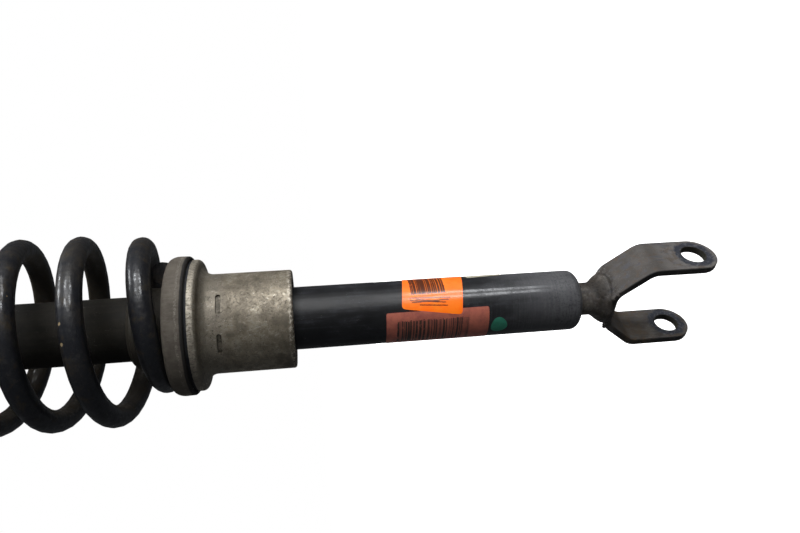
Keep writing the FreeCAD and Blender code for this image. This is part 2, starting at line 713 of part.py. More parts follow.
def rod_nut():
    """Hexagon nut with a round locking collar."""
    collar_h = 3.0
    nut = hexagon(ROD_NUT_FLATS, ROD_NUT_Z, ROD_NUT_H - collar_h)
    nut = nut.fuse(disc(ROD_NUT_FLATS / 2 - 1, ROD_NUT_Z, ROD_NUT_H))
    return nut.cut(disc(THREAD_R + SLIP / 2, ROD_NUT_Z - 1, ROD_NUT_H + 2))


# ---- export ----------------------------------------------------------------------------------

PIECES = (
    fork_bracket, fork_stem, damper_tube, perch_snap_ring, perch_sleeve, perch_isolator,
    spring_seat_cup, lower_spring_pad, coil_spring, rod_guide, guide_bush, rod_seal,
    guide_snap_ring, striker_cap, floating_piston, floating_piston_seal, piston_rod,
    rebound_bumper, rebound_stop_plate, compression_shims, piston, piston_band, rebound_shims,
    piston_nut, bump_stop, dust_tube, lower_washer, lower_mount_bushing, mount_collar,
    mount_base, mount_studs, upper_mount_bushing, upper_spring_pad, upper_washer, rod_nut,
)

os.makedirs("parts", exist_ok=True)
for make in PIECES:
    shape = make()
    shape.exportStep(f"parts/{make.__name__}.step")
    print(make.__name__, shape.isValid(), len(shape.Solids), round(shape.Volume / 1000, 2), "cm3")
print("heights", TUBE_TOP, CAP_TOP, SPRING_TOP, FLANGE_Z, PLATE_TOP, WASHER_Z, ROD_NUT_Z)
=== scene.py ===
import json
import math
import bpy
from mathutils import Matrix, Vector
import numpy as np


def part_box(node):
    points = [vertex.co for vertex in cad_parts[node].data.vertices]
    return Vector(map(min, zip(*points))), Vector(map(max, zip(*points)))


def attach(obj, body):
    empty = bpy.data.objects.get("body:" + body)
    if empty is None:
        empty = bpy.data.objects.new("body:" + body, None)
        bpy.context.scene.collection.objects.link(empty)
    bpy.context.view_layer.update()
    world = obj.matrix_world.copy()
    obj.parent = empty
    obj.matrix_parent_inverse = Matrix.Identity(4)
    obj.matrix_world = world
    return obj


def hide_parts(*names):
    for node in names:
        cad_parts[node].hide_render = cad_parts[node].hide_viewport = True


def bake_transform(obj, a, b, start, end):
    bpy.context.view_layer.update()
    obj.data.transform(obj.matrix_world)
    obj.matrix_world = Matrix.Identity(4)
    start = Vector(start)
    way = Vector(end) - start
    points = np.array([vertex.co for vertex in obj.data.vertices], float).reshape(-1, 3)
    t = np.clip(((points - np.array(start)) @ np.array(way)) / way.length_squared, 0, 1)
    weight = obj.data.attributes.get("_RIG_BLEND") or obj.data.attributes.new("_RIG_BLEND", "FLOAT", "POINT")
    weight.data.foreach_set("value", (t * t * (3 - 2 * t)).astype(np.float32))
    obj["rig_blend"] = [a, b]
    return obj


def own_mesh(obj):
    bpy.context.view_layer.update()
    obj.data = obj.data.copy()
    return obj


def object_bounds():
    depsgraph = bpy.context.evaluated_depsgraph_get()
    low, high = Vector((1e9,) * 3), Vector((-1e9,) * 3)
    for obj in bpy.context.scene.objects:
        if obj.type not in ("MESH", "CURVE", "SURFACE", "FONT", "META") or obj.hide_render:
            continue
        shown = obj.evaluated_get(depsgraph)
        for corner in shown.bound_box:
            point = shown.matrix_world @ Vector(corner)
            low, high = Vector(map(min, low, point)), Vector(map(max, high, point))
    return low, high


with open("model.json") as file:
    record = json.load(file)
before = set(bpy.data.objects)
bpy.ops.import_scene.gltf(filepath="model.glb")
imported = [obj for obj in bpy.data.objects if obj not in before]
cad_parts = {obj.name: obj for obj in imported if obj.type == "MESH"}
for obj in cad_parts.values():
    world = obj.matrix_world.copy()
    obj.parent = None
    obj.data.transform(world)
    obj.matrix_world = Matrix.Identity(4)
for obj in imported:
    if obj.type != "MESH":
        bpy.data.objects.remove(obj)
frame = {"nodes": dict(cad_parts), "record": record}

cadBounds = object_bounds()
mm = 0.001


def place(x, y, z):
    return Vector((x, y, z)) * mm


# the shock lies on its side in the main view: these two are level with the floor and square to its length
viewUp = Vector((0.774, 0.633, 0.0))
towardsCamera = Vector((0.633, -0.774, 0.0))

cameraSetup = {                               # metres; the lens in mm
    "place": (0.29858, -0.31358, 0.25019),
    "right": (0.0385, -0.1386, -0.9896),
    "up": (0.7726, 0.6322, -0.0584),
    "lens": 29.94, "near": 0.01,
}

# metres and watts; shift is along the shock
lampAim = 0.25                                # height of the spot that the broad lamps face
lampSetup = {                                 # lean: degrees round the shock, from the camera towards viewUp
    "key": {"lean": 54, "away": 2.2, "size": 2.0, "power": 28.0, "shift": 0.05},
    "top": {"lean": 98, "away": 1.8, "size": 1.6, "power": 13.0, "shift": -0.1},
    "fill": {"lean": -25, "away": 2.4, "size": 2.6, "power": 2.5, "shift": 0.0},
    "back": {"lean": 170, "away": 2.4, "size": 2.4, "power": 42.0, "shift": 0.2},
    "side": {"lean": 212, "away": 2.4, "size": 1.6, "power": 12.0, "shift": 0.1},
    "topEnd": {"lean": 135, "away": 1.1, "size": 1.4, "power": 34.0, "shift": 1.9},
}

panelSetup = {                                # panels that show as glints: lean, slope, height faced
    "places": ((62, 17, 0.37), (40, 17, 0.37), (100, 62, 0.37), (80, 62, 0.37),
               (64, -15, 0.13), (47, -15, 0.13)),
    "away": 2.6, "size": (0.42, 0.75), "power": 11.0, "colour": (0.93, 0.96, 1),
}

roomSetup = {
    "tint": (0.55, 0.58, 0.62, 1), "strength": 0.09, "white": (1, 1, 1, 1),
    "floorSize": 60, "floorColour": (0.8, 0.8, 0.8, 1), "floorRoughness": 0.9, "floorGlow": 1.0,
}


def makeCamera():
    right, up = Vector(cameraSetup["right"]), Vector(cameraSetup["up"])
    bpy.ops.object.camera_add()
    camera = bpy.context.object
    back = right.cross(up)
    turn = Matrix((right, up, back)).transposed().to_4x4()
    camera.matrix_world = Matrix.Translation(cameraSetup["place"]) @ turn
    camera.data.lens = cameraSetup["lens"]
    camera.data.clip_start = cameraSetup["near"]
    bpy.context.scene.camera = camera


def addLamp(name, where, target, size, power, colour=(1, 1, 1), turn=None):
    bpy.ops.object.light_add(type="AREA", location=where)
    lamp = bpy.context.object
    lamp.name = name
    aim = (Vector(target) - Vector(where)).normalized()
    if turn is None:
        lamp.rotation_euler = aim.to_track_quat("-Z", "Y").to_euler()
    else:                                     # the panel's long side lies along turn
        long = (Vector(turn) - Vector(turn).dot(aim) * aim).normalized()
        side = long.cross(-aim)
        lamp.matrix_world = Matrix.Translation(where) @ Matrix((side, long, -aim)).transposed().to_4x4()
    lamp.data.energy = power
    lamp.data.color = colour
    if isinstance(size, tuple):
        lamp.data.shape = "RECTANGLE"
        lamp.data.size, lamp.data.size_y = size
    else:
        lamp.data.shape = "DISK"
        lamp.data.size = size
    lamp.visible_camera = False
    return lamp


def makeLamps():
    middle = Vector((0, 0, lampAim))
    along = Vector((0, 0, 1))
    for name, setup in lampSetup.items():
        lean = math.radians(setup["lean"])
        out = towardsCamera * math.cos(lean) + viewUp * math.sin(lean)
        centre = middle + out * setup["away"]
        lamp = addLamp(name, centre + along * setup["shift"], middle, setup["size"], setup["power"])
        lamp.visible_glossy = name == "key"
    for lean, slope, height in panelSetup["places"]:
        lean, slope = math.radians(lean), math.radians(slope)
        level = towardsCamera * math.cos(lean) + viewUp * math.sin(lean)
        spot = Vector((0, 0, height))
        where = spot + (level * math.cos(slope) + along * math.sin(slope)) * panelSetup["away"]
        addLamp("ceilingPanel", where, spot, panelSetup["size"], panelSetup["power"],
                panelSetup["colour"], along)


def makeSurroundings():
    world = bpy.data.worlds.new("studio")
    bpy.context.scene.world = world
    world.use_nodes = True
    nodes, links = world.node_tree.nodes, world.node_tree.links
    dim = nodes["Background"]
    dim.inputs["Color"].default_value = roomSetup["tint"]
    dim.inputs["Strength"].default_value = roomSetup["strength"]
    white = nodes.new("ShaderNodeBackground")
    white.inputs["Color"].default_value = roomSetup["white"]
    rays = nodes.new("ShaderNodeLightPath")
    mix = nodes.new("ShaderNodeMixShader")
    links.new(rays.outputs["Is Camera Ray"], mix.inputs[0])
    links.new(dim.outputs[0], mix.inputs[1])
    links.new(white.outputs[0], mix.inputs[2])
    links.new(mix.outputs[0], nodes["World Output"].inputs["Surface"])
    bpy.ops.mesh.primitive_plane_add(size=roomSetup["floorSize"], location=(0, 0, cadBounds[0].z))
    floor = bpy.context.object
    floor.name = "paleFloor"
    paint = bpy.data.materials.new("paleFloor")
    paint.use_nodes = True
    shader = paint.node_tree.nodes["Principled BSDF"]
    shader.inputs["Base Color"].default_value = roomSetup["floorColour"]
    shader.inputs["Roughness"].default_value = roomSetup["floorRoughness"]
    shader.inputs["Emission Color"].default_value = roomSetup["white"]
    shader.inputs["Emission Strength"].default_value = roomSetup["floorGlow"]
    floor.data.materials.append(paint)
    floor.visible_diffuse = False             # the pale floor doesn't light the part
    floor.visible_glossy = False
    view = bpy.context.scene.view_settings
    view.view_transform = "Standard"
    view.look = "None"


class Value:                                  # one node output, so that maths reads as Python
    def __init__(self, finish, socket):
        self.finish, self.socket = finish, socket

    def maths(self, operation, first, second=0.0):
        return self.finish.add("ShaderNodeMath", {"operation": operation}, {0: first, 1: second})

    def __add__(self, other):
        return self.maths("ADD", self, other)

    def __sub__(self, other):
        return self.maths("SUBTRACT", self, other)

    def __rsub__(self, other):
        return self.maths("SUBTRACT", other, self)

    def __mul__(self, other):
        return self.maths("MULTIPLY", self, other)

    def __truediv__(self, other):
        return self.maths("DIVIDE", self, other)

    def __pow__(self, other):
        return self.maths("POWER", self, other)

    def __abs__(self):
        return self.maths("ABSOLUTE", self)

    __radd__ = __add__
    __rmul__ = __mul__


socketNames = {
    "bend": "IOR", "metal": "Metallic", "glow": "Emission Strength",
    "coat": "Coat Weight", "coatRough": "Coat Roughness",
}


class Finish:                                 # one material and the nodes behind it
    def __init__(self, name, **fixed):
        self.material = bpy.data.materials.new(name)
        self.material.use_nodes = True
        self.tree = self.material.node_tree
        self.shader = self.tree.nodes["Principled BSDF"]
        for name, value in fixed.items():
            self.shader.inputs[socketNames[name]].default_value = value
        self.spot = self.add("ShaderNodeTexCoord", output="Object")
        self.x = self.add("ShaderNodeSeparateXYZ", sockets={0: self.spot}, output="X")
        self.y = self.add("ShaderNodeSeparateXYZ", sockets={0: self.spot}, output="Y")
        self.z = self.add("ShaderNodeSeparateXYZ", sockets={0: self.spot}, output="Z")

    def add(self, kind, settings=None, sockets=None, output=0):
        node = self.tree.nodes.new(kind)
        for name, value in (settings or {}).items():
            setattr(node, name, value)
        for name, value in (sockets or {}).items():
            self.feed(node.inputs[name], value)
        return Value(self, node.outputs[output])

    def feed(self, socket, value):
        if isinstance(value, Value):
            self.tree.links.new(value.socket, socket)
        elif isinstance(value, tuple) and len(value) == 3 and socket.type == "RGBA":
            socket.default_value = (*value, 1)
        else:
            socket.default_value = value

    def noise(self, size, detail=4.0, rough=0.55, stretch=(1, 1, 1), shift=(0, 0, 0), warp=0.0):
        layout = {"Vector": self.spot, "Scale": stretch, "Location": shift}
        sockets = {"Vector": self.add("ShaderNodeMapping", sockets=layout), "Scale": 1 / (size * mm)}
        sockets.update({"Detail": detail, "Roughness": rough, "Distortion": warp})
        return self.add("ShaderNodeTexNoise", sockets=sockets, output="Fac")

    def cells(self, size):                    # distance from the nearest of many scattered points
        sockets = {"Vector": self.spot, "Scale": 1 / (size * mm)}
        return self.add("ShaderNodeTexVoronoi", {"feature": "F1"}, sockets, "Distance")

    def between(self, value, low, high):      # 0 below low, 1 above high, eased
        sockets = {"Value": value, "From Min": low, "From Max": high}
        return self.add("ShaderNodeMapRange", {"interpolation_type": "SMOOTHSTEP"}, sockets)

    def band(self, value, centre, half, soft):
        return 1 - self.between(abs(value - centre), half, half + soft)

    def blend(self, share, under, over):
        return self.add("ShaderNodeMix", {"data_type": "RGBA"}, {0: share, 6: under, 7: over}, 2)

    def strokes(self, width, length, turn, share, shift=(0, 0, 0)):   # short scuffs, all lying one way
        sockets = {"Vector": self.spot, "Scale": (1, 1, length / width), "Location": shift}
        sockets["Rotation"] = tuple(math.radians(a) for a in turn)
        spot = self.add("ShaderNodeMapping", {"vector_type": "TEXTURE"}, sockets)
        sockets = {"Vector": spot, "Scale": 1 / (width * mm), "Detail": 1.0}
        line = self.add("ShaderNodeTexNoise", sockets=sockets, output="Fac")
        return self.between(line, share, share + 0.04)

    def radius(self):                         # distance from the shock's axis
        return (self.x * self.x + self.y * self.y) ** 0.5

    def done(self, colour, roughness, height=None, depth=0.1, metallic=None, coat=None):
        wanted = {"Base Color": colour, "Roughness": roughness, "Metallic": metallic, "Coat Weight": coat}
        for name, value in wanted.items():
            if value is not None:
                self.feed(self.shader.inputs[name], value)
        if height is not None:
            sockets = {"Height": height, "Distance": depth * mm, "Strength": 1.0}
            self.feed(self.shader.inputs["Normal"], self.add("ShaderNodeBump", sockets=sockets))
        return self.material


# in the finishes, sizes of noise and strokes are in mm, and places on the part in metres


def blackPaint():                             # the damper tube: gloss black, scuffed and dusty
    f = Finish("blackPaint", bend=1.4, coatRough=0.1)
    cloud = f.noise(22, 5, 0.6)
    patch = f.noise(8, 5, 0.65, (1, 1, 0.6), (0.4, 0.1, 0))
    fine = f.noise(1.6, 6, 0.75)
    grit = f.noise(0.45, 3, 0.8)
    rings = f.noise(0.8, 4, 0.7, (0.03, 0.03, 1))
    lengthways = f.noise(2.2, 5, 0.65, (1, 1, 0.035))
    footEnd = 1 - f.between(f.z + (cloud - 0.5) * 0.04, 0.1, 0.16)   # hazed grey near the fork
    inSpring = f.between(f.z + cloud * 0.01, 0.33, 0.36)   # dull and dusty under the spring
    colour = f.blend(f.between(cloud, 0.3, 0.7), (0.0115, 0.0115, 0.0125), (0.02, 0.0205, 0.0225))
    # paler bluish streaks along the tube, all round it
    bluishStreaks = f.between(lengthways * 0.5 + patch * 0.5, 0.48, 0.62)
    colour = f.blend(bluishStreaks * 0.7, colour, (0.037, 0.038, 0.045))
    haze = footEnd * f.between(patch * 0.5 + rings * 0.35 + footEnd * 0.3 + grit * 0.25, 0.42, 0.95)
    colour = f.blend(haze * 0.85, colour, (0.108, 0.108, 0.114))
    turned = f.between(rings * 0.5 + fine * 0.5, 0.52, 0.66)
    colour = f.blend(footEnd * turned * 0.5, colour, (0.15, 0.15, 0.158))
    colour = f.blend(f.between(fine, 0.6, 0.78) * 0.35, colour, (0.07, 0.067, 0.066))
    colour = f.blend(f.between(grit * 0.6 + patch * 0.4, 0.58, 0.68) * 0.4, colour, (0.085, 0.082, 0.08))
    colour = f.blend(inSpring * 0.9, colour, (0.0145, 0.013, 0.01))
    dust = inSpring * f.between(cloud * 0.7 + lengthways * 0.4, 0.45, 0.75)
    colour = f.blend(dust, colour, (0.027, 0.0235, 0.0175))
    nick = f.strokes(0.6, 3, (20, 50, 0), 0.725) + f.strokes(0.35, 5, (-15, 12, 0), 0.72, (0, 0.3, 0))
    nick = nick * f.between(patch, 0.5, 0.6)
    colour = f.blend(nick * 0.7, colour, (0.16, 0.15, 0.145))
    tip = 1 - f.between(f.z + (cloud - 0.5) * 0.01, 0.088, 0.112)   # worn paler at its very end
    colour = f.blend(tip * f.between(fine * 0.6 + rings * 0.4, 0.4, 0.62) * 0.8, colour, (0.13, 0.13, 0.135))
    colour = f.blend(tip * (1 - f.between(fine, 0.36, 0.48)) * 0.6, colour, (0.04, 0.04, 0.042))
    roughness = 0.38 + (patch - 0.5) * 0.3 + haze * 0.06 + inSpring * 0.42
    roughness = roughness + lengthways * 0.1 + (grit - 0.5) * 0.2 - footEnd * 0.05
    height = fine * 0.5 + rings * 0.5 * footEnd + patch * 1.6 + lengthways * 0.5 + grit * 0.25 + nick * 0.3
    gloss = (0.12 + f.band(f.z, 0.148, 0.024, 0.035) * 0.5) * (1 - inSpring) * (1 - tip)
    gloss = gloss * f.between(patch * 0.5 + fine * 0.5, 0.68, 0.4)
    return f.done(colour, roughness, height, 0.06, coat=gloss)


def weatheredSteel():                         # fork and stem: thin brown-black paint under road dust
    f = Finish("weatheredSteel", bend=1.45)
    cloud = f.noise(14, 6, 0.62)
    patch = f.noise(5, 6, 0.7, shift=(0.4, 0.2, 0.7))
    fine = f.noise(0.8, 5, 0.75)
    smear = f.noise(4, 5, 0.65, (1, 1.6, 0.3), (0.1, 0.5, 0.3))
    worn = f.between(cloud * 0.6 + smear * 0.4, 0.4, 0.6)
    colour = f.blend(worn, (0.056, 0.05, 0.044), (0.128, 0.117, 0.107))
    outer = f.between(f.x, -0.01, 0.02)       # the ear that lies uppermost
    # painted highlight: the uppermost ear is painted lighter towards its tip, where the light falls on it;
    # the line after paints it darker higher up
    colour = f.blend((1 - f.between(f.z, 0.02, 0.036)) * outer * 0.65, colour, (0.165, 0.153, 0.143))
    colour = f.blend(f.between(f.z, 0.014, 0.036) * outer * 0.65, colour, (0.066, 0.059, 0.053))
    colour = f.blend(f.between(patch, 0.5, 0.62) * 0.65, colour, (0.085, 0.06, 0.042))
    colour = f.blend(f.between(smear, 0.52, 0.62) * 0.6, colour, (0.06, 0.063, 0.076))
    colour = f.blend(f.between(fine, 0.56, 0.74) * 0.6, colour, (0.23, 0.21, 0.195))
    colour = f.blend((1 - f.between(fine, 0.3, 0.42)) * 0.6, colour, (0.035, 0.031, 0.028))
    bolt = (f.y * f.y + f.z * f.z) ** 0.5 + (patch - 0.5) * 0.008 + (fine - 0.5) * 0.003
    seat = 1 - f.between(bolt, 0.0118, 0.0132)   # round the eyes, where washers sat
    colour = f.blend(seat * 0.92, colour, (0.03, 0.034, 0.047))
    bare = f.between(f.noise(2.2, 6, 0.8, shift=(0, 3, 1)) + seat * 0.05, 0.57, 0.66)
    bare = bare * (1 - f.between(bolt, 0.0125, 0.015))
    colour = f.blend(bare * 0.6, colour, (0.2, 0.198, 0.215))
    boreWall = 1 - f.between((f.y * f.y + f.z * f.z) ** 0.5, 0.0084, 0.0086)   # the bore walls, painted dark olive
    colour = f.blend(boreWall * 0.8, colour, (0.03, 0.026, 0.014))
    side = f.between(abs(f.y), 0.0138, 0.0143) * (1 - f.between(f.z, 0.044, 0.052))   # narrow sides
    colour = f.blend(side * 0.9, colour, (0.018, 0.017, 0.016))
    rub = side * f.between(f.noise(2.2, 5, 0.7, shift=(2, 0, 1)), 0.6, 0.68)
    colour = f.blend(rub * 0.6, colour, (0.2, 0.17, 0.14))
    lower = (1 - f.between(f.x, -0.03, -0.01)) * f.band(f.z, 0.03, 0.006, 0.014)   # painted light: patchy brown on the other ear, standing in for light falling on it
    colour = f.blend(lower * f.between(patch, 0.38, 0.58) * 0.7, colour, (0.1, 0.073, 0.045))
    root = f.between(f.z, 0.05, 0.0535) * (1 - f.between(f.z, 0.061, 0.068))   # where the straps meet: patchy painted shade in the creases, and paler flecks
    colour = f.blend(root * f.between(patch, 0.44, 0.56) * 0.75, colour, (0.033, 0.028, 0.024))
    colour = f.blend(root * f.between(f.noise(1.6, 5, 0.8), 0.56, 0.64) * 0.6, colour, (0.2, 0.175, 0.15))
    scale = f.between(f.z, 0.056, 0.06)       # flaking scale on the stem
    colour = f.blend(scale * f.between(cloud, 0.5, 0.58) * 0.55, colour, (0.19, 0.172, 0.148))
    colour = f.blend(scale * (1 - f.between(cloud, 0.42, 0.5)) * 0.75, colour, (0.028, 0.024, 0.02))
    flakes = f.between(f.cells(2.2) + (fine - 0.5) * 0.5, 0.3, 0.55)
    colour = f.blend(scale * flakes * 0.45, colour, (0.055, 0.044, 0.034))
    speck = (1 - f.between(f.cells(5.5), 0.05, 0.1)) * f.between(patch, 0.5, 0.6)
    colour = f.blend(speck, colour, (0.03, 0.028, 0.026))
    roughness = 0.6 - seat * 0.18 + (fine - 0.5) * 0.3 - side * 0.1 - bare * 0.12
    height = fine * 0.8 + cloud * 1.5 + patch * 1.2 - speck * 0.5 + scale * flakes * 1.1
    return f.done(colour, roughness, height, 0.14)


def castAluminium():                          # perch sleeve: oxidised casting, rubbed bright in places
    f = Finish("castAluminium", bend=1.5)
    cloud = f.noise(20, 6, 0.6, shift=(0.1, 0.5, 0.2), warp=0.3)
    patch = f.noise(6, 6, 0.7, warp=0.2)
    fine = f.noise(0.7, 4, 0.75)
    turning = f.noise(0.9, 4, 0.7, (0.06, 0.06, 1), (0, 0, 0.5))
    light = f.between(cloud * 0.5 + patch * 0.5, 0.36, 0.66)
    colour = f.blend(light, (0.172, 0.146, 0.108), (0.43, 0.372, 0.28))
    stain = f.between(f.noise(9, 6, 0.72, (1, 1, 0.6), (0.9, 0, 0)), 0.52, 0.68)
    colour = f.blend(stain * 0.45, colour, (0.13, 0.112, 0.084))
    shoulder = f.between(f.z, 0.299, 0.309)   # turned, above the skirt
    colour = f.blend(shoulder * 0.5, colour, f.blend(turning, (0.17, 0.15, 0.122), (0.33, 0.3, 0.25)))
    flange = f.between(f.radius(), 0.0404, 0.0408)   # painted highlight: pale flecks on the side that faces up, towards the light
    flecks = f.noise(1.1, 5, 0.75, (1, 1, 0.4), (0.3, 0, 0))
    litSide = f.band((f.x * viewUp.x + f.y * viewUp.y) / 0.041, 0.35, 0.3, 0.95)
    colour = f.blend(flange * litSide * f.between(flecks, 0.42, 0.56) * 0.85, colour, (0.62, 0.56, 0.46))
    pits = (1 - f.between(f.cells(1.3), 0.14, 0.28)) * f.between(fine, 0.42, 0.52)
    colour = f.blend(pits * 0.65, colour, (0.085, 0.074, 0.056))
    colour = f.blend(f.between(fine, 0.6, 0.76) * 0.4, colour, (0.58, 0.54, 0.46))
    rubs = f.strokes(0.5, 6, (25, 20, 0), 0.67) + f.strokes(0.45, 5, (-30, -40, 0), 0.67, (0.1, 0, 0))
    rubs = rubs + f.strokes(0.6, 4, (10, -15, 0), 0.68, (0, 0.2, 0))
    rubs = rubs * f.between(cloud * 0.6 + patch * 0.4, 0.42, 0.52)
    dents = f.strokes(0.6, 4, (40, -30, 0), 0.68, (0.4, 0, 0.2))
    dents = dents + f.strokes(0.7, 2, (-20, 30, 0), 0.7, (0, 0.4, 0))
    colour = f.blend(dents * 0.85, colour, (0.08, 0.068, 0.05))
    scuff = f.between(patch, 0.5, 0.62) * f.between(f.noise(1.6, 4, 0.7, (1, 1, 0.35)), 0.5, 0.6)
    scuff = scuff * (1 - shoulder) * f.between(cloud, 0.44, 0.56)
    colour = f.blend(scuff * 0.55, colour, (0.52, 0.48, 0.4))
    colour = f.blend(rubs * 0.6, colour, (0.62, 0.58, 0.5))
    rim = 1 - f.between(f.z, 0.2636, 0.2646)   # the skirt's lower edge, rubbed bright
    rim = rim + f.between(f.radius(), 0.031, 0.0313) * (1 - f.between(f.z, 0.2645, 0.2665))
    edge = rim * f.between(f.noise(2.2, 5, 0.7) + light * 0.12, 0.53, 0.64)
    colour = f.blend(edge * 0.9, colour, (0.75, 0.69, 0.58))
    roughness = 0.54 - light * 0.12 - rubs * 0.1 - scuff * 0.12 + (fine - 0.5) * 0.2
    # painted shade inside the slots and the hollow skirt
    pocketShade = (1 - f.between(f.radius(), 0.0308, 0.0311)) * f.between(f.z, 0.2665, 0.267)
    colour = f.blend(pocketShade * f.between(patch, 0.4, 0.56) * 0.85, colour, (0.06, 0.052, 0.038))
    height = fine * 0.9 + patch * 2.0 - pits * 0.9 + cloud * 1.2
    height = height + turning * shoulder * 0.6 - dents * 1.2 - rubs * 0.5
    return f.done(colour, roughness, height, 0.16, metallic=0.5 + scuff * 0.25 + rubs * 0.25 + edge * 0.25)


def greySeat():                               # spring seat: dull metal under settled dust
    f = Finish("greySeat", bend=1.4, metal=0.1)
    cloud = f.noise(12, 5, 0.6)
    grain = f.noise(0.5, 4, 0.8)
    drag = f.noise(1.1, 4, 0.7, (1, 1, 0.15))
    dust = f.between(cloud * 0.6 + drag * 0.4, 0.35, 0.65)
    colour = f.blend(dust, (0.105, 0.09, 0.072), (0.175, 0.153, 0.125))
    colour = f.blend(f.between(grain, 0.58, 0.75) * 0.5, colour, (0.3, 0.27, 0.225))
    colour = f.blend((1 - f.between(grain, 0.3, 0.44)) * 0.7, colour, (0.055, 0.047, 0.037))
    hub = (1 - f.between(f.radius(), 0.0252, 0.0262)) * f.between(f.z, 0.332, 0.336)   # the hub, painted dark
    colour = f.blend(hub * 0.85, colour, (0.03, 0.027, 0.02))
    outside = f.between(f.radius(), 0.0395, 0.0402)
    rough = outside * f.band(f.z + (cloud - 0.5) * 0.0016, 0.3285, 0.0003, 0.0008)
    rough = rough * f.between(f.noise(2.6, 4, 0.7, shift=(0.7, 0, 0)), 0.4, 0.55)
    speckle = f.between(f.noise(0.35, 3, 0.7, (1, 1, 0.6), (0.4, 0, 0)), 0.45, 0.58)
    colour = f.blend(rough * speckle * 0.6, colour, (0.42, 0.38, 0.32))
    colour = f.blend(rough * (1 - speckle) * 0.35, colour, (0.07, 0.06, 0.048))
    under = outside * (1 - f.between(f.z + (cloud - 0.5) * 0.001, 0.3261, 0.3268))   # painted shade: black on the underside of the bead
    colour = f.blend(under * 0.92, colour, (0.017, 0.016, 0.0155))
    roughness = 0.76 - hub * 0.2
    height = grain * 0.7 + f.noise(3, 4) * 1.2 + rough * speckle * 0.3
    return f.done(colour, roughness, height, 0.12)


# chips in the spring's coating: degrees round the shock, height and size in mm
springChips = ((-41, 385.2, 1.0), (-43, 386.3, 0.6), (-52, 384.6, 1.2), (-53.5, 385.8, 0.5))


def springCoating():                          # powder coat, glossy where it isn't dusty
    f = Finish("springCoating", bend=1.45, coatRough=0.09)
    cloud = f.noise(26, 5, 0.6)
    patch = f.noise(7, 5, 0.65, shift=(0.5, 0, 0.2))
    fine = f.noise(0.9, 5, 0.75)
    radius = f.radius()
    outward = (f.x * viewUp.x + f.y * viewUp.y) / radius
    inner = (1 - f.between(radius, 0.0475, 0.052)) * f.between(f.z, 0.352, 0.366)   # inside the coils
    smudge = f.noise(3.2, 6, 0.7, shift=(0.1, 0.9, 0.4))
    dusty = f.between(outward * 0.12 + cloud * 0.6 + patch * 0.6 + inner * 0.4, 0.55, 1.0)
    colour = f.blend(dusty, (0.0125, 0.0135, 0.0175), (0.05, 0.041, 0.029))
    colour = f.blend(f.between(smudge, 0.5, 0.66) * 0.6, colour, (0.034, 0.032, 0.031))
    colour = f.blend(f.between(patch, 0.54, 0.68) * 0.55, colour, (0.046, 0.033, 0.017))
    colour = f.blend(f.between(fine, 0.58, 0.74) * 0.5, colour, (0.095, 0.088, 0.078))
    chips = 1 - f.between(f.cells(13), 0.035, 0.055)
    chips = chips * f.between(f.noise(34, 2, shift=(0.2, 0.8, 0)), 0.6, 0.64)
    for angle, height, size in springChips:
        spot = place(58 * math.cos(math.radians(angle)), 58 * math.sin(math.radians(angle)), height)
        gap = f.add("ShaderNodeVectorMath", {"operation": "DISTANCE"}, {0: f.spot, 1: tuple(spot)}, "Value")
        chips = chips + (1 - f.between(gap + (fine - 0.5) * 0.0016, size * mm * 0.9, size * mm * 1.15))
    chips = f.add("ShaderNodeClamp", sockets={"Value": chips})
    colour = f.blend(chips * 0.9, colour, (0.4, 0.3, 0.16))
    roughness = 0.36 + dusty * 0.2 + patch * 0.1 + chips * 0.3
    height = f.noise(3.4, 3, 0.5) * 2.8 + fine * 0.35 - chips * 0.6 + patch * 0.8 + smudge * 0.5
    breaks = f.between(f.noise(2.4, 4, 0.65, (1, 1, 0.7), (0.3, 0, 0.6)), 0.49, 0.57)   # places without gloss
    gloss = (1 - dusty * 0.6) * (1 - chips) * (1 - breaks * 0.75)
    gloss = gloss * f.between(fine * 0.5 + smudge * 0.5, 0.62, 0.4)
    return f.done(colour, roughness, height, 0.13, coat=gloss)


def plainRubber():
    f = Finish("blackRubber", bend=1.45)
    cloud = f.noise(9, 5, 0.6)
    grain = f.noise(0.5, 4, 0.7)
    colour = f.blend(f.between(cloud, 0.4, 0.7), (0.02, 0.021, 0.026), (0.042, 0.041, 0.04))
    colour = f.blend(f.between(grain, 0.62, 0.8) * 0.4, colour, (0.09, 0.085, 0.075))
    return f.done(colour, 0.62 + grain * 0.2, grain * 0.6 + cloud, 0.07)


def zincSteel():
    f = Finish("zincSteel", metal=1.0)
    cloud = f.noise(6, 5, 0.6)
    grain = f.noise(0.5, 4, 0.7)
    colour = f.blend(cloud, (0.42, 0.4, 0.34), (0.6, 0.58, 0.51))
    dull = f.between(f.noise(4, 5, 0.7, shift=(1, 0, 0)), 0.52, 0.7)
    colour = f.blend(dull * 0.6, colour, (0.2, 0.175, 0.13))
    return f.done(colour, 0.36 + dull * 0.25 + grain * 0.12, grain * 0.15 + cloud * 0.5, 0.04)


def hardChrome():
    f = Finish("hardChrome", metal=1.0)
    grind = f.noise(0.35, 3, 0.6, (0.03, 0.03, 1))
    film = f.noise(12, 4)
    colour = f.blend(film, (0.7, 0.71, 0.73), (0.8, 0.8, 0.8))
    return f.done(colour, 0.06 + grind * 0.1 + film * 0.06, grind, 0.01)


def springSteel():
    f = Finish("springSteel", metal=1.0)
    grain = f.noise(0.8, 4, 0.6)
    return f.done(f.blend(grain, (0.16, 0.16, 0.17), (0.34, 0.34, 0.35)), 0.3 + grain * 0.2)


def machinedAluminium():
    f = Finish("machinedAluminium", metal=1.0)
    turning = f.noise(0.3, 2, 0.5, (0.02, 0.02, 1))
    colour = f.blend(turning, (0.62, 0.62, 0.64), (0.78, 0.78, 0.79))
    return f.done(colour, 0.25 + turning * 0.2, turning, 0.02)


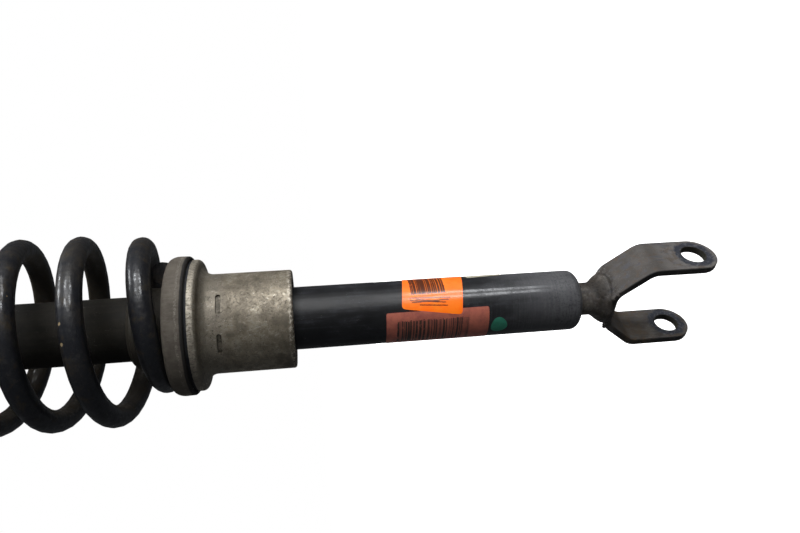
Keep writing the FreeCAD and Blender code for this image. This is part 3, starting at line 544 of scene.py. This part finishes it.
def bearingLining():
    f = Finish("bearingLining")
    grain = f.noise(0.6, 4, 0.7)
    return f.done(f.blend(grain, (0.05, 0.07, 0.06), (0.09, 0.11, 0.09)), 0.4 + grain * 0.2)


def urethaneFoam():
    f = Finish("urethaneFoam", bend=1.4)
    pores = f.cells(0.9)
    stain = f.noise(14, 5, 0.6)
    colour = f.blend(f.between(stain, 0.4, 0.75), (0.6, 0.5, 0.27), (0.36, 0.27, 0.13))
    colour = f.blend((1 - f.between(pores, 0.12, 0.3)) * 0.5, colour, (0.2, 0.15, 0.07))
    return f.done(colour, 0.85 - stain * 0.1, pores, 0.18)


def blackPlastic():
    f = Finish("blackPlastic", bend=1.46)
    grain = f.noise(0.7, 4, 0.7)
    dust = f.noise(18, 5, 0.6)
    colour = f.blend(f.between(dust, 0.42, 0.75), (0.014, 0.014, 0.015), (0.045, 0.041, 0.035))
    return f.done(colour, 0.42 + dust * 0.22 + grain * 0.08, grain, 0.04)


def mountPaint():
    f = Finish("mountPaint", bend=1.5)
    cloud = f.noise(15, 5, 0.6)
    fine = f.noise(1.2, 5, 0.7)
    peel = f.noise(1.6, 2, 0.5)
    colour = f.blend(f.between(cloud, 0.4, 0.72), (0.011, 0.011, 0.012), (0.034, 0.03, 0.025))
    rust = f.between(f.noise(9, 6, 0.75, shift=(0.3, 0.3, 0.9)), 0.62, 0.68)
    colour = f.blend(rust * 0.8, colour, (0.085, 0.032, 0.014))
    colour = f.blend(f.between(fine, 0.62, 0.78) * 0.5, colour, (0.07, 0.065, 0.06))
    roughness = 0.34 + cloud * 0.2 + rust * 0.35
    return f.done(colour, roughness, peel * 0.6 + rust * 1.2, 0.06)


finishOfSlot = {
    "weathered_steel": weatheredSteel, "black_paint": blackPaint, "spring_steel": springSteel,
    "cast_aluminium": castAluminium, "black_rubber": plainRubber, "grey_seat": greySeat,
    "spring_coating": springCoating, "machined_aluminium": machinedAluminium,
    "bearing_lining": bearingLining, "zinc_steel": zincSteel, "hard_chrome": hardChrome,
    "urethane_foam": urethaneFoam, "black_plastic": blackPlastic, "mount_paint": mountPaint,
}


def finishCadNodes():
    made = {slot: make() for slot, make in finishOfSlot.items()}
    for part in frame["record"]["subparts"]:
        node = frame["nodes"][part["node"]]
        if not node.material_slots:
            node.data.materials.append(None)
        for slot in node.material_slots:
            slot.material = made[part["material_slot"]]
    return made


def deselect():
    bpy.ops.object.select_all(action="DESELECT")


def choose(piece):
    deselect()
    piece.select_set(True)
    bpy.context.view_layer.objects.active = piece


def smooth(piece, angle=40):
    choose(piece)
    bpy.ops.object.shade_smooth_by_angle(angle=math.radians(angle))


def settle(piece, body, slot=None, *nodes):
    choose(piece)
    bpy.ops.object.transform_apply(location=True, rotation=True, scale=True)
    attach(piece, body)
    if nodes:
        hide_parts(*nodes)


springSetup = {                               # mm and degrees; turns are counted from its lower tip
    "wire": 6.83, "coil": 52.3, "pitch": 35.0, "turns": 8.75, "startAngle": 35.3,
    "pigtail": 33.93, "pigtailTurn": 0.54, "pigtailOpen": 0.6, "deadTurns": 0.5, "riseTurns": 0.35,
    "pointsPerTurn": 40, "aroundWire": 9,
}


def springClimb(turns):                       # pitches gained since the wire's lower tip
    s = springSetup

    def ramp(x):
        if x < s["riseTurns"]:
            return max(x, 0) ** 2 / (2 * s["riseTurns"])
        return x - s["riseTurns"] / 2

    return ramp(turns - s["deadTurns"]) - ramp(turns - (s["turns"] - s["deadTurns"] - s["riseTurns"]))


def springCentre(turns, lowest):
    s = springSetup
    share = min(1, max(0, (turns - s["pigtailTurn"]) / s["pigtailOpen"]))
    radius = (s["pigtail"] + (s["coil"] - s["pigtail"]) * share * share * (3 - 2 * share)) * mm
    angle = math.radians(s["startAngle"] + 360 * turns)
    height = lowest + (s["wire"] + s["pitch"] * springClimb(turns)) * mm
    return Vector((radius * math.cos(angle), radius * math.sin(angle), height))


def makeSpring(made):
    s = springSetup
    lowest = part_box("coil_spring")[0].z
    count = int(s["turns"] * s["pointsPerTurn"])
    centres = [springCentre(s["turns"] * i / count, lowest) for i in range(count + 1)]
    path = bpy.data.curves.new("springWire", "CURVE")
    path.dimensions = "3D"
    line = path.splines.new("POLY")
    line.points.add(count)
    for point, centre in zip(line.points, centres):
        point.co = (*centre, 1)
    path.bevel_depth = s["wire"] * mm
    path.bevel_resolution = s["aroundWire"]
    path.use_fill_caps = True
    path.twist_mode = "Z_UP"
    wire = bpy.data.objects.new("springWire", path)
    bpy.context.collection.objects.link(wire)
    choose(wire)
    bpy.ops.object.convert(target="MESH")
    bpy.ops.object.mode_set(mode="EDIT")
    bpy.ops.mesh.select_all(action="SELECT")
    bpy.ops.mesh.remove_doubles(threshold=1e-6)
    bpy.ops.mesh.normals_make_consistent(inside=False)
    bpy.ops.object.mode_set(mode="OBJECT")
    wire.data.materials.clear()
    wire.data.materials.append(made["spring_coating"])
    smooth(wire)
    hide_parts("coil_spring")
    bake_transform(wire, "damper", "rod", start=centres[0], end=centres[-1])
    # each ring of the wire moves as one, so that the wire stays round when the spring shortens
    rise = centres[-1].z - centres[0].z
    tips = [centres[0], centres[-1]]
    shares = wire.data.attributes["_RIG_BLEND"].data
    for vertex, share in zip(wire.data.vertices, shares):
        angle = math.degrees(math.atan2(vertex.co.y, vertex.co.x)) - s["startAngle"]
        options = [springCentre((angle / 360) % 1 + k, lowest) for k in range(int(s["turns"]) + 1)]
        nearest = min(options + tips, key=lambda c: (c - vertex.co).length)
        share.value = min(1, max(0, (nearest.z - centres[0].z) / rise))
    print("spring wire", len(wire.data.vertices))


bumpSetup = {                                 # mm; solid is its length when fully squashed
    "rings": 3, "outer": 20.5, "waist": 16.8, "foot": 13.0, "bore": 7.8, "solid": 20.6,
    "steps": 8, "around": 64, "widening": 3.2,
}


def makeBumpStop(made):
    s = bumpSetup
    low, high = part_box("bump_stop")
    length = high.z - low.z
    steps = s["rings"] * s["steps"]
    outline = []
    for i in range(steps + 1):
        share = i / steps
        swell = 0.5 + 0.5 * math.cos(2 * math.pi * share * s["rings"])
        outer = s["foot"] + (s["outer"] - s["foot"]) * min(1, share * s["widening"])
        outline.append((min(outer, s["waist"] + (s["outer"] - s["waist"]) * swell), low.z + length * share))
    bpy.ops.mesh.primitive_circle_add(vertices=s["around"], radius=outline[0][0] * mm, location=(0, 0, low.z))
    stop = bpy.context.object
    stop.name = "bumpStop"
    bpy.ops.object.mode_set(mode="EDIT")
    for (r0, z0), (r1, z1) in zip(outline, outline[1:]):
        bpy.ops.mesh.extrude_region_move(TRANSFORM_OT_translate={"value": (0, 0, z1 - z0)})
        bpy.ops.transform.resize(value=(r1 / r0, r1 / r0, 1), center_override=(0, 0, z1))
    inward = s["bore"] / outline[-1][0]
    bpy.ops.mesh.extrude_region_move()
    bpy.ops.transform.resize(value=(inward, inward, 1), center_override=(0, 0, high.z))
    bpy.ops.mesh.extrude_region_move(TRANSFORM_OT_translate={"value": (0, 0, -length)})
    bpy.ops.mesh.select_all(action="DESELECT")
    bpy.ops.mesh.select_non_manifold()
    bpy.ops.mesh.bridge_edge_loops()
    bpy.ops.mesh.select_all(action="SELECT")
    bpy.ops.mesh.normals_make_consistent(inside=False)
    bpy.ops.object.mode_set(mode="OBJECT")
    stop.data.materials.append(made["urethane_foam"])
    smooth(stop, 50)
    settle(stop, "rod", "urethane_foam", "bump_stop")
    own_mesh(stop)


tubeRadius = 20.0
labelThick, labelAround = 0.09, 240
# corners as (height, angle), lift off the tube and corner radius in mm; plain bars that stand for
# no number; smears are pen strokes, as (angle, from height, to height, slant)
labelSetup = {
    "redLabel": {
        "corners": ((206, -49), (140, -48), (140, -131), (206, -131)), "lift": 0.08, "round": 1.6,
        "clean": (0.66, 0.195, 0.13), "faded": (0.45, 0.125, 0.09), "ink": (0.065, 0.036, 0.026),
        "glow": 0.0,
        "bars": {"pitch": 1.25, "shift": 1.7, "share": 0.5, "angle": -92, "spread": 26, "z": 176,
                 "half": 23, "wear": 0.55, "ragged": 1.8, "tone": 0.3, "smears": ()},
    },
    "orangeLabel": {
        "corners": ((191.5, 56), (152.6, 56), (157.7, -60), (196, -43)), "lift": 0.2, "round": 2.6,
        "clean": (0.95, 0.15, 0.002), "faded": (0.93, 0.2, 0.007), "ink": (0.08, 0.016, 0.003),
        "glow": 0.45,
        "bars": {"pitch": 0.9, "shift": 0.4, "share": 0.45, "angle": 8, "spread": 25, "z": 178.2,
                 "half": 10.9, "wear": 0.62, "ragged": 0.6, "tone": 0.45,
                 "smears": ((-24, 190, 165, 0.12), (-29, 190, 168, 0.3), (-33, 189, 166, -0.1),
                            (-38, 184, 167, 0.2), (-27, 186, 172, 0.5))},
    },
    "paleStrip": {
        "corners": ((152, 50), (127, 50), (126.5, 27), (150, 21)), "lift": 0.08, "round": 0.8,
        "clean": (0.62, 0.58, 0.45), "faded": (0.45, 0.41, 0.3), "ink": (0.2, 0.17, 0.12),
        "glow": 0.0, "bars": None,
    },
}


def onTube(height, angle, radius=tubeRadius):
    turn = math.radians(angle)
    return place(radius * math.cos(turn), radius * math.sin(turn), height)


def labelPaper(name):
    s = labelSetup[name]
    f = Finish(name, bend=1.45, glow=s["glow"], coat=0.6, coatRough=0.12)
    bars, ink = s["bars"], s["ink"]
    cloud = f.noise(8, 6, 0.65)
    fine = f.noise(1.0, 5, 0.75)
    colour = f.blend(f.between(cloud, 0.35, 0.7), s["clean"], s["faded"])
    if bars:
        height = f.z * 1000                   # mm
        angle = f.add("ShaderNodeMath", {"operation": "ARCTAN2"}, {0: f.y, 1: f.x}) * (180 / math.pi)
        lines = f.noise(bars["pitch"], 1, 0.6, (0.004, 0.004, 1.0), (0, 0, bars["shift"]))
        printed = f.between(lines, bars["share"] - 0.02, bars["share"] + 0.02)
        edge = (f.noise(1.2, 2) - 0.5) * bars["ragged"]
        inside = f.band(angle + edge * 6, bars["angle"], bars["spread"], 1)
        inside = inside * f.band(height + edge, bars["z"], bars["half"], 0.3)
        worn = f.between(f.noise(3.5, 6, 0.75, shift=(0.3, 0, 0)), bars["wear"], bars["wear"] + 0.12)
        colour = f.blend(bars["tone"] * inside, colour, ink)
        colour = f.blend(printed * inside * (1 - worn), colour, ink)
        for top, left, right, slant in bars["smears"]:
            line = angle - top - (height - left) * slant
            reach = f.band(height, (left + right) / 2, abs(left - right) / 2, 1)
            smear = f.band(line + edge * 3, 0, 0.7, 0.8) * reach
            colour = f.blend(smear * (1 - worn) * 0.85, colour, ink)
    colour = f.blend(f.between(fine, 0.6, 0.8) * 0.35, colour, ink)
    if s["glow"]:                             # painted light: the paper glows in its own colour, for fluorescent paper, which gives back more light than it gets
        f.feed(f.shader.inputs["Emission Color"], colour)
    return f.done(colour, 0.4 + cloud * 0.15, fine * 0.3 + cloud, 0.04)


def chooseVertices(piece, wanted):            # in edit mode, those that pass a test on their place
    bpy.ops.mesh.select_mode(type="VERT")
    bpy.ops.mesh.select_all(action="DESELECT")
    bpy.ops.object.mode_set(mode="OBJECT")
    for vertex in piece.data.vertices:
        vertex.select = wanted(vertex.co)
    bpy.ops.object.mode_set(mode="EDIT")


def roundCorners(corners, size, steps=5):     # (height, angle) corners, cut to arcs of the given radius in mm
    scale = tubeRadius * math.pi / 180        # mm round the tube per degree
    flat = [Vector((height, angle * scale)) for height, angle in corners]
    rounded = []
    for before, corner, after in zip(flat[-1:] + flat[:-1], flat, flat[1:] + flat[:1]):
        start = corner + (before - corner).normalized() * size
        end = corner + (after - corner).normalized() * size
        for i in range(steps + 1):
            t = i / steps
            rounded.append(start * (1 - t) ** 2 + corner * 2 * t * (1 - t) + end * t ** 2)
    return [(spot.x, spot.y / scale) for spot in rounded]


def makeLabel(name):
    s = labelSetup[name]
    paper = labelPaper(name)
    heights = [c[0] for c in s["corners"]]
    middle = onTube(sum(heights) / 4, sum(c[1] for c in s["corners"]) / 4)
    depth = max(heights) - min(heights) + 8   # a little longer than the label, which is cut out of it
    bpy.ops.mesh.primitive_cylinder_add(vertices=labelAround, radius=(tubeRadius + s["lift"]) * mm,
                                        depth=depth * mm, end_fill_type="NOTHING",
                                        location=place(0, 0, (max(heights) + min(heights)) / 2))
    label = bpy.context.object
    label.name = name
    bpy.ops.object.transform_apply(location=True)
    bpy.ops.object.mode_set(mode="EDIT")
    outline = roundCorners(s["corners"], s["round"])
    for first, second in zip(outline, outline[1:] + outline[:1]):
        a, b = onTube(*first), onTube(*second)
        outward = Vector((a.x + b.x, a.y + b.y, 0))
        normal = (b - a).cross(outward).normalized()
        if normal.dot(middle - a) > 0:
            normal = -normal
        bpy.ops.mesh.select_all(action="SELECT")
        bpy.ops.mesh.bisect(plane_co=a, plane_no=normal, threshold=1e-6, clear_outer=True)
    bpy.ops.object.mode_set(mode="OBJECT")
    bpy.ops.object.modifier_add(type="SOLIDIFY")
    label.modifiers[-1].thickness = labelThick * mm
    label.modifiers[-1].offset = 1
    bpy.ops.object.modifier_apply(modifier=label.modifiers[-1].name)
    label.data.materials.append(paper)
    smooth(label)
    settle(label, "damper")
    print("label", name, len(label.data.vertices))


dotSetup = {                                  # mm, and degrees round the tube
    "height": 133.2, "angle": -88, "size": (6.0, 5.4), "wobble": 0.05, "lift": 0.05, "thick": 0.06,
    "around": 40, "cuts": 6, "cutStep": 0.95,
}


def greenPaint():
    f = Finish("greenPaint", bend=1.5)
    cloud = f.noise(3, 5, 0.6)
    colour = f.blend(cloud, (0.035, 0.26, 0.16), (0.07, 0.4, 0.26))
    return f.done(colour, 0.35 + cloud * 0.2, cloud, 0.06)


def makeDot():
    s = dotSetup
    bpy.ops.mesh.primitive_circle_add(vertices=s["around"], radius=1, fill_type="NGON")
    dot = bpy.context.object
    dot.name = "paintDot"
    bpy.ops.object.mode_set(mode="EDIT")
    bpy.ops.transform.resize(value=(*s["size"], 1))
    for i in range(-s["cuts"], s["cuts"] + 1):
        bpy.ops.mesh.select_all(action="SELECT")
        bpy.ops.mesh.bisect(plane_co=(i * s["cutStep"], 0, 0), plane_no=(1, 0, 0))
    bpy.ops.object.mode_set(mode="OBJECT")
    for vertex in dot.data.vertices:          # its edge is made uneven, and it is laid on the tube
        edge = 1 + s["wobble"] * math.sin(3 * math.atan2(vertex.co.y, vertex.co.x) + 1)
        around = math.degrees(vertex.co.x * edge / tubeRadius)
        vertex.co = onTube(s["height"] + vertex.co.y * edge, around + s["angle"], tubeRadius + s["lift"])
    bpy.ops.object.modifier_add(type="SOLIDIFY")
    dot.modifiers[-1].thickness = s["thick"] * mm
    dot.modifiers[-1].offset = 1
    bpy.ops.object.modifier_apply(modifier=dot.modifiers[-1].name)
    dot.data.materials.append(greenPaint())
    smooth(dot)
    settle(dot, "damper")


weldSetup = {                                 # mm
    "middle": 15.6, "thick": 1.5, "drop": -0.4, "steps": 120, "around": 16,
    "lumps": 30, "unevenness": 0.35, "reach": 1.7, "pull": 1.4, "swell": 1.1, "swellChange": 0.1,
}


def makeStemWeld(made):
    s = weldSetup
    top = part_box("fork_bracket")[1].z
    height = top + s["drop"] * mm
    bpy.ops.mesh.primitive_torus_add(major_radius=s["middle"] * mm, minor_radius=s["thick"] * mm,
                                     major_segments=s["steps"], minor_segments=s["around"],
                                     location=(0, 0, height))
    weld = bpy.context.object
    weld.name = "stemWeld"
    bpy.ops.object.transform_apply(location=True)
    bpy.ops.object.mode_set(mode="EDIT")
    for i in range(s["lumps"]):               # each ripple is pulled out a little, unevenly
        turn = 2 * math.pi * (i + s["unevenness"] * math.sin(5.1 * i)) / s["lumps"]
        centre = Vector((s["middle"] * mm * math.cos(turn), s["middle"] * mm * math.sin(turn), height))
        chooseVertices(weld, lambda spot: (spot - centre).length < s["reach"] * mm)
        swell = s["swell"] + s["swellChange"] * math.sin(2.3 * i)
        bpy.ops.transform.resize(value=(swell, swell, swell), center_override=centre,
                                 use_proportional_edit=True, proportional_edit_falloff="SMOOTH",
                                 proportional_size=s["pull"] * mm)
    bpy.ops.object.mode_set(mode="OBJECT")
    weld.data.materials.append(made["weathered_steel"])
    smooth(weld, 60)
    settle(weld, "damper", "weathered_steel")
    print("stem weld", len(weld.data.vertices))


spatterSetup = {                              # each lump's place and size in mm, and shares of its size
    "lumps": (((-15.4, -11.2, 54.0), 1.7), ((-14.2, -13.6, 55.6), 1.3),
              ((13.3, -14.9, 56.3), 1.6), ((14.9, -15.0, 53.6), 1.2)),
    "pulls": 5, "reach": 0.6, "outward": 0.3, "inward": -0.25,
}


def makeSpatter(made):
    s = spatterSetup
    lumps = []
    for number, (spot, size) in enumerate(s["lumps"]):
        bpy.ops.mesh.primitive_ico_sphere_add(subdivisions=3, radius=size * mm, location=place(*spot))
        lump = bpy.context.object
        bpy.ops.object.transform_apply(location=True)
        bpy.ops.object.mode_set(mode="EDIT")
        for i in range(s["pulls"]):           # pulled out of round, a different way each time
            turn = 2.4 * i + number
            way = Vector((math.cos(turn), math.sin(turn), math.cos(1.7 * turn))).normalized()
            centre = place(*spot) + way * size * mm
            chooseVertices(lump, lambda vertex: (vertex - centre).length < s["reach"] * size * mm)
            pull = s["outward"] if i % 2 else s["inward"]
            bpy.ops.transform.translate(value=way * pull * size * mm, use_proportional_edit=True,
                                        proportional_edit_falloff="SMOOTH", proportional_size=size * mm)
        bpy.ops.object.mode_set(mode="OBJECT")
        lumps.append(lump)
    deselect()
    for lump in lumps:
        lump.select_set(True)
    bpy.context.view_layer.objects.active = lumps[0]
    bpy.ops.object.join()
    lumps[0].name = "weldSpatter"
    lumps[0].data.materials.clear()
    lumps[0].data.materials.append(made["weathered_steel"])
    smooth(lumps[0], 60)
    settle(lumps[0], "damper", "weathered_steel")
    print("weld spatter", len(lumps[0].data.vertices))


studSetup = {                                 # mm; crest and flat are shares of the pitch
    "circle": 72.0, "count": 3, "thread": 5.0, "root": 4.08, "pitch": 1.5, "crest": 0.12, "flat": 0.2,
    "tip": 3.9, "sunk": 0.6, "shoulder": 5.6, "groove": 0.95, "plate": 3.0, "splines": 24,
    "head": 8.0, "headThick": 2.5, "headEdge": 0.8, "headAround": 48, "headSteps": 4,
    "steps": 32, "slack": 0.01,
}


def makeThread(low, high):                    # left in edit mode, closed at both ends
    s = studSetup
    radius, root, pitch = s["thread"], s["root"], s["pitch"]
    crest, flat = pitch * s["crest"], pitch * s["flat"]
    flank = pitch / 2 - flat / 2 - crest / 2
    bpy.ops.mesh.primitive_plane_add(size=1)  # merged to one point, from which the profile is extruded
    thread = bpy.context.object
    bpy.ops.object.mode_set(mode="EDIT")
    bpy.ops.mesh.select_all(action="SELECT")
    bpy.ops.mesh.merge(type="CENTER")
    bpy.ops.transform.translate(value=place(root, 0, low - 2 * pitch))
    turns = int(math.ceil((high - low) / pitch)) + 3
    for i in range(turns):
        for x, z in ((0, flat), (radius - root, flank), (0, crest), (root - radius, flank)):
            bpy.ops.mesh.extrude_region_move(TRANSFORM_OT_translate={"value": place(x, 0, z)})
    bpy.ops.object.mode_set(mode="OBJECT")
    bpy.ops.object.modifier_add(type="SCREW")
    screw = thread.modifiers[-1]
    screw.screw_offset = pitch * mm
    screw.steps = screw.render_steps = s["steps"]
    screw.use_merge_vertices = False
    bpy.ops.object.transform_apply(location=True)
    bpy.ops.object.modifier_apply(modifier=screw.name)
    bpy.ops.object.mode_set(mode="EDIT")
    bpy.ops.mesh.select_all(action="SELECT")
    bpy.ops.mesh.remove_doubles(threshold=2e-6)
    for height, clear in ((low, "inner"), (high, "outer")):
        bpy.ops.mesh.select_all(action="SELECT")
        bpy.ops.mesh.bisect(plane_co=place(0, 0, height), plane_no=(0, 0, 1), threshold=1e-7, use_fill=True,
                            clear_inner=clear == "inner", clear_outer=clear == "outer")
    bpy.ops.mesh.select_all(action="SELECT")
    bpy.ops.mesh.normals_make_consistent(inside=False)
    return thread


def makeStuds(made):
    s = studSetup
    under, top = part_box("mount_studs")[0].z / mm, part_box("mount_studs")[1].z / mm
    face = under + s["headThick"]
    thread = makeThread(face + s["plate"] - s["sunk"], top)
    chooseVertices(thread, lambda spot: spot.z > (top - s["slack"]) * mm)
    tip = s["tip"] / s["thread"]
    bpy.ops.transform.resize(value=(tip, tip, 1), center_override=place(0, 0, top))
    bpy.ops.object.mode_set(mode="OBJECT")
    bpy.ops.mesh.primitive_cylinder_add(vertices=s["splines"] * 2, radius=s["shoulder"] * mm,
                                        depth=s["plate"] * mm, location=place(0, 0, face + s["plate"] / 2))
    shoulder = bpy.context.object
    bpy.ops.object.transform_apply(location=True)
    bpy.ops.object.mode_set(mode="EDIT")      # every other corner goes in, for the knurl's grooves
    chooseVertices(shoulder, lambda spot: round(math.atan2(spot.y, spot.x) / math.pi * s["splines"]) % 2)
    bpy.ops.transform.resize(value=(s["groove"], s["groove"], 1), center_override=(0, 0, face * mm))
    bpy.ops.object.mode_set(mode="OBJECT")
    bpy.ops.mesh.primitive_cylinder_add(vertices=s["headAround"], radius=s["head"] * mm,
                                        depth=s["headThick"] * mm,
                                        location=place(0, 0, face - s["headThick"] / 2))
    head = bpy.context.object
    bpy.ops.object.transform_apply(location=True)
    bpy.ops.object.mode_set(mode="EDIT")
    chooseVertices(head, lambda spot: spot.z < (face - s["slack"]) * mm)
    bpy.ops.mesh.bevel(affect="EDGES", offset=s["headEdge"] * mm, segments=s["headSteps"])
    bpy.ops.object.mode_set(mode="OBJECT")
    deselect()
    for piece in (thread, shoulder, head):
        piece.select_set(True)
    bpy.context.view_layer.objects.active = thread
    bpy.ops.object.join()
    bpy.ops.object.mode_set(mode="EDIT")
    bpy.ops.mesh.select_all(action="SELECT")
    bpy.ops.transform.translate(value=place(s["circle"], 0, 0))
    for i in range(s["count"] - 1):
        bpy.ops.mesh.duplicate()
        bpy.ops.transform.rotate(value=2 * math.pi / s["count"], orient_axis="Z", center_override=(0, 0, 0))
    bpy.ops.object.mode_set(mode="OBJECT")
    thread.name = "mountStuds"
    thread.data.materials.clear()
    thread.data.materials.append(made["zinc_steel"])
    smooth(thread, 35)
    settle(thread, "rod", "zinc_steel", "mount_studs")
    print("mount studs", len(thread.data.vertices))


makeCamera()
makeLamps()
makeSurroundings()
print("stage ready")
made = finishCadNodes()
print("finishes ready")
makeSpring(made)
makeBumpStop(made)
for name in labelSetup:
    makeLabel(name)
makeDot()
print("labels ready")
makeStemWeld(made)
makeSpatter(made)
makeStuds(made)
